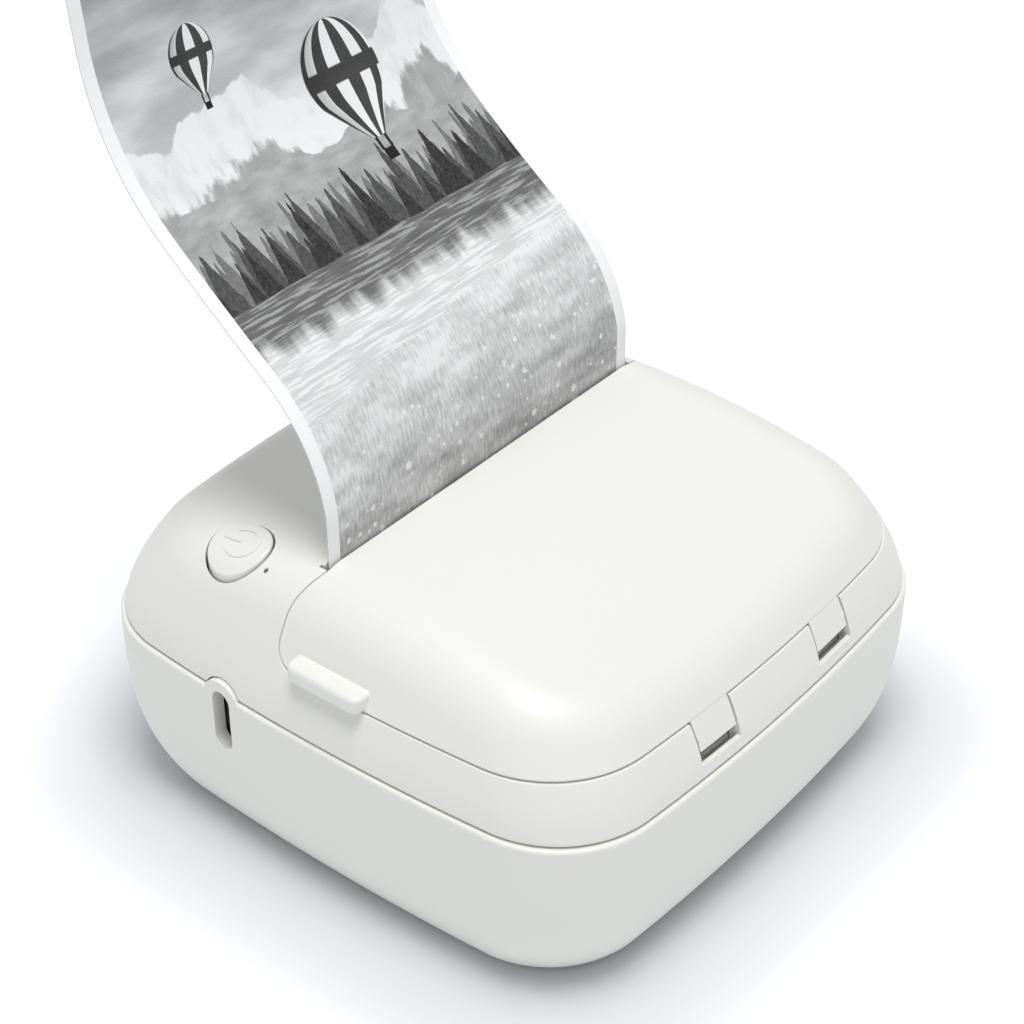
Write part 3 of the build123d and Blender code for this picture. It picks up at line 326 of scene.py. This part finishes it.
heating_z = 31.0
ceramic = Finish("ceramic", Coat_Roughness=0.08, Coat_Weight=0.6)
_, _, glaze_z = ceramic.place()
heating_line = 1.0 - (glaze_z - heating_z).size().above(0.35, 0.1)
ceramic.set(Base_Color=ceramic.blend(heating_line, (0.78, 0.75, 0.68), (0.10, 0.075, 0.06)))
ceramic.set(Roughness=0.14 + 0.1 * ceramic.noise(900.0))
print("heating line at", heating_z, "mm")

# %% [markdown]
# ## The circuit board and what is on it
# A green board shows its copper through the solder mask as slightly paler tracks. The contour
# lines of a cloudy noise look like tracks from a hand's distance, and a fine grid of dots makes
# the plated holes.

# %% Board, ribbon and battery wrap
board = Finish("board", Specular_IOR_Level=0.5)
track_x, _, track_z = board.place()
hills = board.noise(0.9, 0.0, board.vector(track_x * 0.25, 0.0, track_z * 0.25))
contours = 26.0
tracks = (hills * contours).sine().size().above(0.82, 0.06)
holes_per_mm = 0.78
steps = [((axis * holes_per_mm).fraction() - 0.5).size() for axis in (track_x, track_z)]
outside_hole = (steps[0] + steps[1]).above(0.18, 0.03)
vias = (1.0 - outside_hole) * hills.above(0.56, 0.02)
mask_green = board.blend(tracks, (0.006, 0.075, 0.030), (0.014, 0.125, 0.050))
board.set(Base_Color=board.blend(vias, mask_green, (0.62, 0.52, 0.26)))
board.set(Roughness=0.30 + 0.12 * tracks, Metallic=vias * 0.9, Normal=board.relief(tracks, 0.00003))

ribbon = Finish("ribbon", Specular_IOR_Level=0.5)
ribbon_x, _, _ = ribbon.place()
leads_per_mm = 1.6
leads = ((ribbon_x * leads_per_mm).fraction() - 0.5).size().above(0.22, 0.04)
ribbon.set(Base_Color=ribbon.blend(leads, (0.50, 0.24, 0.07), (0.33, 0.13, 0.03)))
ribbon.set(Roughness=0.28 + 0.1 * leads, Normal=ribbon.relief(leads, 0.00003))

wrap = Finish("cell_wrap", Coat_Roughness=0.15)
wrap_x, wrap_y, wrap_z = wrap.place()
can_end_x = 21.8
can_end = wrap_x.above(can_end_x, 0.05)
wrinkles = wrap.noise(0.5, 3.0, wrap.vector(wrap_x * 3.0, wrap_y * 0.3, wrap_z * 0.3))
wrap.set(Base_Color=wrap.blend(can_end, (0.02, 0.10, 0.32), (0.62, 0.62, 0.63)))
wrap.set(Metallic=can_end, Roughness=0.22 + 0.12 * wrinkles, Normal=wrap.relief(wrinkles, 0.00004))

light = Finish("light", IOR=1.49, Transmission_Weight=0.85)
light.set(Base_Color=light.blend(light.noise(400.0), (0.80, 0.84, 0.88), (0.88, 0.92, 0.95)))
light.set(Roughness=0.08 + 0.05 * light.noise(700.0))
print("finishes so far:", len(finishes))

# %% [markdown]
# ## Paper
# Thermal paper is matt and very slightly warm or cool, with a faint fibre. On the roll, the end
# faces show the edges of the turns as fine rings round the core.

# %% Roll of paper
paper_half = 28.75
roll_y = 17.0
roll_z = 18.9

paper = Finish("paper", Specular_IOR_Level=0.25)
paper_x, paper_y, paper_z = paper.place()
from_axis = ((paper_y - roll_y) ** 2.0 + (paper_z - roll_z) ** 2.0) ** 0.5
ring_wave = 9.0
turns = (from_axis * ring_wave).sine() * 0.5 + 0.5
end_skin = 0.05
ends = paper_x.size().above(paper_half - end_skin, 0.02)
fibre = paper.noise(1800.0, 3.0)
rings = turns * ends
paper.set(Base_Color=paper.blend(rings * 0.5, (0.86, 0.865, 0.87), (0.62, 0.62, 0.63)))
paper.set(Roughness=0.72 + 0.1 * fibre, Normal=paper.relief(rings + 0.1 * fibre, 0.00004))
print("the roll's end faces show rings")

# %% [markdown]
# ## Give every CAD piece its finish
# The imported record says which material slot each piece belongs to, and each finish above has its
# slot's name, so one loop dresses them all.

# %% Dress the CAD pieces
slot_of = {part["node"]: part["material_slot"] for part in frame["record"]["subparts"]}
for name, piece in frame["nodes"].items():
    piece.data.materials.clear()
    piece.data.materials.append(finishes[slot_of[name]])
print("dressed", len(slot_of), "pieces")

# %% [markdown]
# ## The strip's path
# The paper leaves the roll, goes round the platen, stands up in the slot, leans over the button
# in a wide bend and straightens again at its end. The path is a chain of straight runs and arcs,
# so a point on it follows from the distance along it.

# %% Path of the strip
MM = 1.0 / MM_PER_METRE
thickness = 0.16
roll_radius = 15.0
platen = (-0.85, 31.0)
platen_radius = 4.0
skim = 0.05
off_roll = roll_radius + skim + thickness / 2
off_platen = platen_radius + skim + thickness / 2
span = sqrt((platen[0] - roll_y) ** 2 + (platen[1] - roll_z) ** 2)
lean = atan2(platen[1] - roll_z, platen[0] - roll_y) + acos((off_roll - off_platen) / span)
leave = Vector((roll_y + off_roll * cos(lean), roll_z + off_roll * sin(lean)))
meet = Vector((platen[0] + off_platen * cos(lean), platen[1] + off_platen * sin(lean)))
heading = degrees(atan2(meet.y - leave.y, meet.x - leave.x))

slot_z = 42.2
lean_start_z = 46.8
lean_turn, lean_radius, lean_run = 50.0, 23.5, 19.0
end_turn, end_radius, end_run = 40.0, 35.0, 5.95

# Each leg is a length and a turning radius; a positive radius bends towards the button side.
nip_angle = heading - 90.0
legs = [
    ((meet - leave).length, 0.0),
    (radians(nip_angle) * off_platen, -off_platen),
    (lean_start_z - platen[1], 0.0),
    (radians(lean_turn) * lean_radius, lean_radius),
    (lean_run, 0.0),
    (radians(end_turn) * end_radius, -end_radius),
    (end_run, 0.0),
]
strip_length = sum(length for length, radius in legs)


def on_path(distance):
    """Point (y, z) and heading, in radians, after a distance along the strip."""
    y, z, angle = leave.x, leave.y, radians(heading)
    for length, radius in legs:
        step = min(distance, length)
        if radius == 0.0:
            y += step * cos(angle)
            z += step * sin(angle)
        else:
            bend = step / radius
            y += radius * (sin(angle + bend) - sin(angle))
            z -= radius * (cos(angle + bend) - cos(angle))
            angle += bend
        distance -= step
        if distance <= 0.0:
            break
    return y, z, angle


top_y, top_z, _ = on_path(strip_length)
print("strip", round(strip_length, 1), "mm long, top at y", round(top_y, 1), "z", round(top_z, 1))

# %% [markdown]
# ## The strip as a sheet
# A flat grid already has a picture map, with one axis along the strip. Laying each of its points
# on the path keeps that map, so a picture bends with the paper. The sheet bows and twists a
# little in the air, as loose paper does. Solidify then gives it the thickness of paper, and puts
# the side that faces the cover in a second material slot, which is kept free for the print.

# %% Lay the grid on the path
bpy.ops.object.select_all(action="DESELECT")
cells_across = 28
cells_along = 220
bpy.ops.mesh.primitive_grid_add(
    x_subdivisions=cells_across, y_subdivisions=cells_along, size=1.0, calc_uvs=True
)
strip = bpy.context.object
strip.name = "printed_strip"

slot_distance = sum(length for length, radius in legs[:2]) + slot_z - platen[1]
straight_above_slot = 6.0
held_length = slot_distance + straight_above_slot
free_length = strip_length - held_length
bow = 1.9
twist = -0.8

for point in strip.data.vertices:
    across = 2 * point.co.x
    distance = (point.co.y + 0.5) * strip_length
    y, z, angle = on_path(distance)
    share = min(max((distance - held_length) / free_length, 0.0), 1.0)
    shift = (bow + twist * across) * sin(pi * share)
    y += shift * -sin(angle)
    z += shift * cos(angle)
    point.co = (across * paper_half * MM, y * MM, z * MM)

print_slot = 1
strip.data.materials.append(finishes["paper"])
strip.data.materials.append(None)
paper_wall = strip.modifiers.new("thickness", "SOLIDIFY")
paper_wall.thickness = thickness * MM
paper_wall.offset = 0.0
paper_wall.material_offset = print_slot
bpy.ops.object.modifier_apply(modifier=paper_wall.name)
bpy.ops.object.shade_smooth_by_angle(angle=radians(40.0))
print("strip faces:", len(strip.data.polygons))

# %% [markdown]
# ## The printed picture
# A thermal printer makes greys from tiny black dots. The picture here is made up: two striped
# balloons over a lake, with spruces and snowy hills behind and a flowering meadow in front. Each
# layer is a formula that says where it is, and it is laid over what lies further away. A white
# margin stays at each side, because the head is narrower than the paper.

# %% Coordinates of the print, in millimetres
landscape = Finish("printed_paper", Specular_IOR_Level=0.25)
uv = landscape.node("ShaderNodeUVMap", "UV")
uv_split = landscape.tree.nodes.new("ShaderNodeSeparateXYZ")
landscape.tree.links.new(uv.socket, uv_split.inputs[0])
print_x = Signal(landscape.tree, uv_split.outputs[0]) * (2 * paper_half) - paper_half
print_y = Signal(landscape.tree, uv_split.outputs[1]) * strip_length - slot_distance


def cloud(x_scale, y_scale, seed, detail=3.0):
    """Noise over the print, with cells of the given sizes in millimetres."""
    where = landscape.vector(print_x * (1.0 / x_scale), print_y * (1.0 / y_scale), seed)
    return landscape.noise(1.0, detail, where)


def ridge(base, height, width, seed, detail=4.0):
    """Height of a ridge line across the print."""
    where = landscape.vector(print_x * (1.0 / width), seed, 0.0)
    return base + height * (landscape.noise(1.0, detail, where) - 0.5)


def below(line, blur=0.12):
    """1 under a ridge line."""
    return (line - print_y).above(0.0, blur)


def over(picture, layer, mask):
    """Lays a layer over the picture where its mask is 1."""
    return picture + mask * (layer - picture)


print("picture starts", round(slot_distance, 1), "mm along the strip")

# %% Sky and hills
horizon = 36.0
haze = (print_y - horizon) * 0.008
clouds = cloud(x_scale=24.0, y_scale=8.0, seed=3.1, detail=6.0).above(0.52, 0.14)
picture = 0.80 - haze + 0.24 * clouds

snow_depth = 8.0
snow_ragged = 9.0
far_line = ridge(base=55.0, height=20.0, width=15.0, seed=8.3, detail=6.0)
rocks = cloud(x_scale=2.4, y_scale=4.6, seed=5.5, detail=6.0)
snow = (print_y - far_line + snow_depth + snow_ragged * (rocks - 0.5)).above(0.0, 0.8)
picture = over(picture, 0.36 + 0.40 * rocks + 0.36 * snow, below(far_line, 0.25))

mid_line = ridge(base=45.5, height=10.0, width=17.0, seed=21.7)
slopes = cloud(x_scale=4.0, y_scale=1.8, seed=9.9, detail=5.0)
picture = over(picture, 0.34 + 0.44 * slopes, below(mid_line))
print("hills are drawn from the back to the front")

# %% [markdown]
# A Voronoi pattern scatters points unevenly. Its distance output is how far the nearest point is,
# and its colour is a set of random numbers for that point. In one dimension the points are the
# trunks of a row of spruces, and in three they are the hearts of the blossoms.

# %% Scattered points and spruces
side_slope = 4.4


def scatter(dimensions, **where):
    """Distance to the nearest of many scattered points, and two random numbers for that point."""
    cells = landscape.tree.nodes.new("ShaderNodeTexVoronoi")
    cells.voronoi_dimensions = dimensions
    plug(landscape.tree, cells.inputs["Scale"], 1.0)
    for name, value in where.items():
        plug(landscape.tree, cells.inputs[name], value)
    chances = landscape.tree.nodes.new("ShaderNodeSeparateColor")
    landscape.tree.links.new(cells.outputs["Color"], chances.inputs[0])
    sockets = (cells.outputs["Distance"], chances.outputs[0], chances.outputs[1])
    return [Signal(landscape.tree, socket) for socket in sockets]


def spruces(picture, foot, tallest, spacing, seed, level):
    """A row of pointed trees with ragged sides."""
    cells_away, chance, _ = scatter("1D", W=print_x * (1.0 / spacing) + seed)
    to_trunk = cells_away * spacing
    height = tallest * (0.45 + 0.55 * chance)
    branches = (print_y * 2.6 + seed).sine() * 0.35 + 1.8 * (cloud(0.5, 0.35, seed) - 0.5)
    top = foot + height - to_trunk * (side_slope + branches * 1.6) + 1.2 * branches
    needles = level + 0.22 * cloud(0.45, 0.7, seed + 6.0)
    return over(picture, needles, below(top, 0.15))


picture = spruces(picture, foot=35.5, tallest=8.0, spacing=1.6, seed=31.0, level=0.22)
picture = spruces(picture, foot=33.5, tallest=10.5, spacing=2.4, seed=47.0, level=0.08)
picture = spruces(picture, foot=31.5, tallest=12.0, spacing=3.6, seed=63.0, level=0.0)
print("three rows of spruces")

# %% Lake
shore = ridge(base=33.0, height=1.2, width=9.0, seed=52.0)
ripples = cloud(x_scale=6.0, y_scale=0.45, seed=60.0, detail=4.0)
mirror = ridge(base=27.0, height=8.0, width=3.0, seed=33.0, detail=2.0)
dark_water = (print_y - mirror + 5.0 * (ripples - 0.5)).above(0.0, 1.6)
glitter = ripples.above(0.54, 0.04)
water = 0.82 + 0.30 * (ripples - 0.5) - 0.52 * dark_water + 0.18 * glitter
picture = over(picture, water, below(shore))
print("the lake mirrors the dark trees near its far shore")

# %% Meadow
bank_slope = 0.12
petal_white = 0.95
bank = ridge(base=20.0, height=6.0, width=16.0, seed=71.0) - bank_slope * print_x
grass = cloud(x_scale=0.35, y_scale=1.7, seed=80.0, detail=4.0)
patches = cloud(x_scale=9.0, y_scale=3.0, seed=86.0)
field = 0.74 + 0.60 * (patches - 0.3) + 0.55 * (grass - 0.5) - 0.012 * (bank - print_y)
tips = cloud(x_scale=0.30, y_scale=2.6, seed=90.0, detail=2.0)
picture = over(picture, field, below(bank + 3.2 * (tips - 0.35), 0.25))


def flowers(picture, size, seed, top):
    """Ragged white blossoms of many sizes."""
    where = landscape.vector(print_x / size, print_y / size, seed)
    away, chance, growth = scatter("3D", Vector=where)
    chosen = chance.above(0.5) * below(top)
    reach = 0.34 * growth + 0.5 * (cloud(0.3, 0.3, seed) - 0.5)
    return over(picture, petal_white, (reach - away).above(0.0, 0.05) * chosen)


picture = flowers(picture, size=1.3, seed=95.0, top=bank - 3.0)
picture = flowers(picture, size=2.4, seed=97.0, top=bank - 9.0)
print("blossoms are larger nearer to the slot")

# %% Balloons
# Lengths inside a balloon are shares of its radius, and up is measured from its middle.
skirt_top = -0.5
skirt_half = 0.86
skirt_taper = 0.82
mouth = -1.32
belt_half = 0.16
basket_half = 0.14
basket_height_half = 0.12
basket_middle = -1.70
rope_half = 0.035
rope_apart = 0.12
rope_middle = -1.45
rope_length_half = 0.14
basket_grey = 0.06


def near(signal, centre, reach, blur=0.01):
    """1 where the signal is within reach of the centre."""
    return (reach - (signal - centre).size()).above(0.0, blur)


def balloon(picture, x, y, radius, gores, phase):
    """A hot-air balloon: a round crown that tapers to its mouth, with a basket on ropes."""
    across = (print_x - x) / radius
    up = (print_y - y) / radius
    crown = (1.0 - up * up).most(0.0) ** 0.5
    skirt = skirt_half + (up - skirt_top) * skirt_taper
    upper = up.above(skirt_top)
    half = crown * upper + skirt * (1.0 - upper)
    inside = (half - across.size()).above(0.03, 0.02) * up.above(mouth)
    round_share = (across / half.most(0.05)).most(-1.0).least(1.0)
    gore = (round_share.arcsine() * gores + phase).sine().above(0.0, 0.06)
    beside_belt = 1.0 - near(up, 0.0, belt_half, 0.02)
    light_side = 0.72 + 0.30 * (1.0 - (round_share + 0.35) ** 2.0)
    cloth = (0.10 + 0.85 * gore * beside_belt) * light_side + 0.05
    basket = near(across, 0.0, basket_half) * near(up, basket_middle, basket_height_half)
    ropes = near(across.size(), rope_apart, rope_half) * near(up, rope_middle, rope_length_half)
    return over(over(picture, cloth, inside), basket_grey, basket.most(ropes))


picture = balloon(picture, x=-9.0, y=52.5, radius=6.6, gores=9.0, phase=0.6)
picture = balloon(picture, x=12.5, y=62.0, radius=3.6, gores=7.0, phase=1.9)
print("two balloons")

# %% Margins, dots and the sheet's own surface
margin = 1.9
dots_per_mm = 5.5
feed_line_grey = 0.006
paper_white = 0.95
lightest = 0.93
darkest = 0.03
contrast = 1.45

inked = (paper_half - margin - print_x.size()).above(0.0, 0.04)
dot_place = landscape.vector(print_x * dots_per_mm, print_y * dots_per_mm, 0.0)
dots = landscape.noise(1.0, 0.0, dot_place)
feed_lines = (print_y * 2.1).sine() * feed_line_grey
toned = (picture + 0.10 * (dots - 0.5) + feed_lines).most(darkest).least(lightest)
tone = paper_white + inked * ((toned ** contrast) * 0.94 - paper_white)
sheet_fibre = landscape.noise(1800.0, 3.0)
landscape.set(Base_Color=landscape.vector(tone, tone, tone), Roughness=0.62 + 0.1 * sheet_fibre)
landscape.set(Normal=landscape.relief(sheet_fibre, 0.000006))

strip.data.materials[print_slot] = finishes["printed_paper"]
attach(strip, "housing")
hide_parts("paper_strip")
print("margins of", margin, "mm stay white")

# %% [markdown]
# ## Floor and light
# The printer stands on a plain white floor under a soft ceiling lamp, with the room's white light
# from all round. The camera sees a floor that is a shade darker than the one that lights the
# printer from below, which deepens the real shadow at its foot. Further out a little glow lifts
# what the camera sees back to white, so close round the printer the floor keeps a painted shade
# on top of its real shadow. A fourth power in the distance makes the edge of that painted shade
# a rounded square, like the printer's plan.

# %% Floor
bpy.ops.object.select_all(action="DESELECT")
bpy.ops.mesh.primitive_plane_add(size=4.0, location=(0.0, 0.0, 0.0))
floor = bpy.context.object
floor.name = "studio_floor"
floor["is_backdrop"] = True

ground = bpy.data.materials.new("studio_floor")
ground.use_nodes = True
tree = ground.node_tree
tree.nodes.clear()
diffuse = tree.nodes.new("ShaderNodeBsdfDiffuse")
glow = tree.nodes.new("ShaderNodeEmission")
glow.inputs["Color"].default_value = (1.0, 1.0, 1.0, 1.0)
rays = tree.nodes.new("ShaderNodeLightPath")
seen = Signal(tree, rays.outputs["Is Camera Ray"]).most(Signal(tree, rays.outputs["Is Glossy Ray"]))
seen = seen.most(Signal(tree, rays.outputs["Is Transmission Ray"]))
floor_level = 0.94  # the floor that lights the printer from below
# Near the printer, where no glow is added, this darker camera-seen floor is a painted shade.
seen_level = 0.74  # the floor that the camera sees
far_lift = 0.36  # the glow further out
cool_tint = (0.985, 1.0, 1.03)
# Inside this rounded-square edge round the printer the glow is left out, which paints a shade on
# the floor there.
painted_shade_edge = 0.052
painted_shade_blur = 0.0104
shade = floor_level - (floor_level - seen_level) * seen
cool = tree.nodes.new("ShaderNodeCombineXYZ")
for axis, tint in enumerate(cool_tint):
    plug(tree, cool.inputs[axis], shade * tint)
plug(tree, diffuse.inputs["Color"], Signal(tree, cool.outputs[0]))
spot = tree.nodes.new("ShaderNodeTexCoord")
split_spot = tree.nodes.new("ShaderNodeSeparateXYZ")
tree.links.new(spot.outputs["Object"], split_spot.inputs[0])
floor_x, floor_y = [Signal(tree, split_spot.outputs[axis]) for axis in range(2)]
away = (floor_x ** 4.0 + floor_y ** 4.0) ** 0.25
outside_painted_shade = away.above(painted_shade_edge, painted_shade_blur)
plug(tree, glow.inputs["Strength"], seen * far_lift * outside_painted_shade)
both = tree.nodes.new("ShaderNodeAddShader")
tree.links.new(diffuse.outputs[0], both.inputs[0])
tree.links.new(glow.outputs[0], both.inputs[1])
out = tree.nodes.new("ShaderNodeOutputMaterial")
tree.links.new(both.outputs[0], out.inputs[0])
floor.data.materials.append(ground)
print("the floor glows by", far_lift, "away from the printer")

# %% World and lamp
room_colour = (0.97, 0.985, 1.0, 1.0)
world = bpy.data.worlds.new("studio")
bpy.context.scene.world = world
world.use_nodes = True
background = world.node_tree.nodes["Background"]
background.inputs["Color"].default_value = room_colour
world_rays = world.node_tree.nodes.new("ShaderNodeLightPath")
seen_sky = Signal(world.node_tree, world_rays.outputs["Is Camera Ray"])
room_level = 0.46
plug(world.node_tree, background.inputs["Strength"], room_level + (1.0 - room_level) * seen_sky)

lamp_disk = bpy.data.lights.new("ceiling_lamp", "AREA")
lamp_disk.shape = "DISK"
lamp_disk.size = 0.40
lamp_disk.energy = 5.05
lamp = bpy.data.objects.new("ceiling_lamp", lamp_disk)
bpy.context.collection.objects.link(lamp)
lamp.location = (0.10, 0.12, 0.90)
lamp.rotation_euler = (-lamp.location).to_track_quat("-Z", "Y").to_euler()
bpy.context.scene.view_settings.view_transform = "Standard"
print("one ceiling lamp and the room")

# %% Sizes
visual_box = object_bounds()
for title, box in (("CAD box", cad_box), ("visual box", visual_box)):
    print(title, [[round(value, 4) for value in corner] for corner in box])
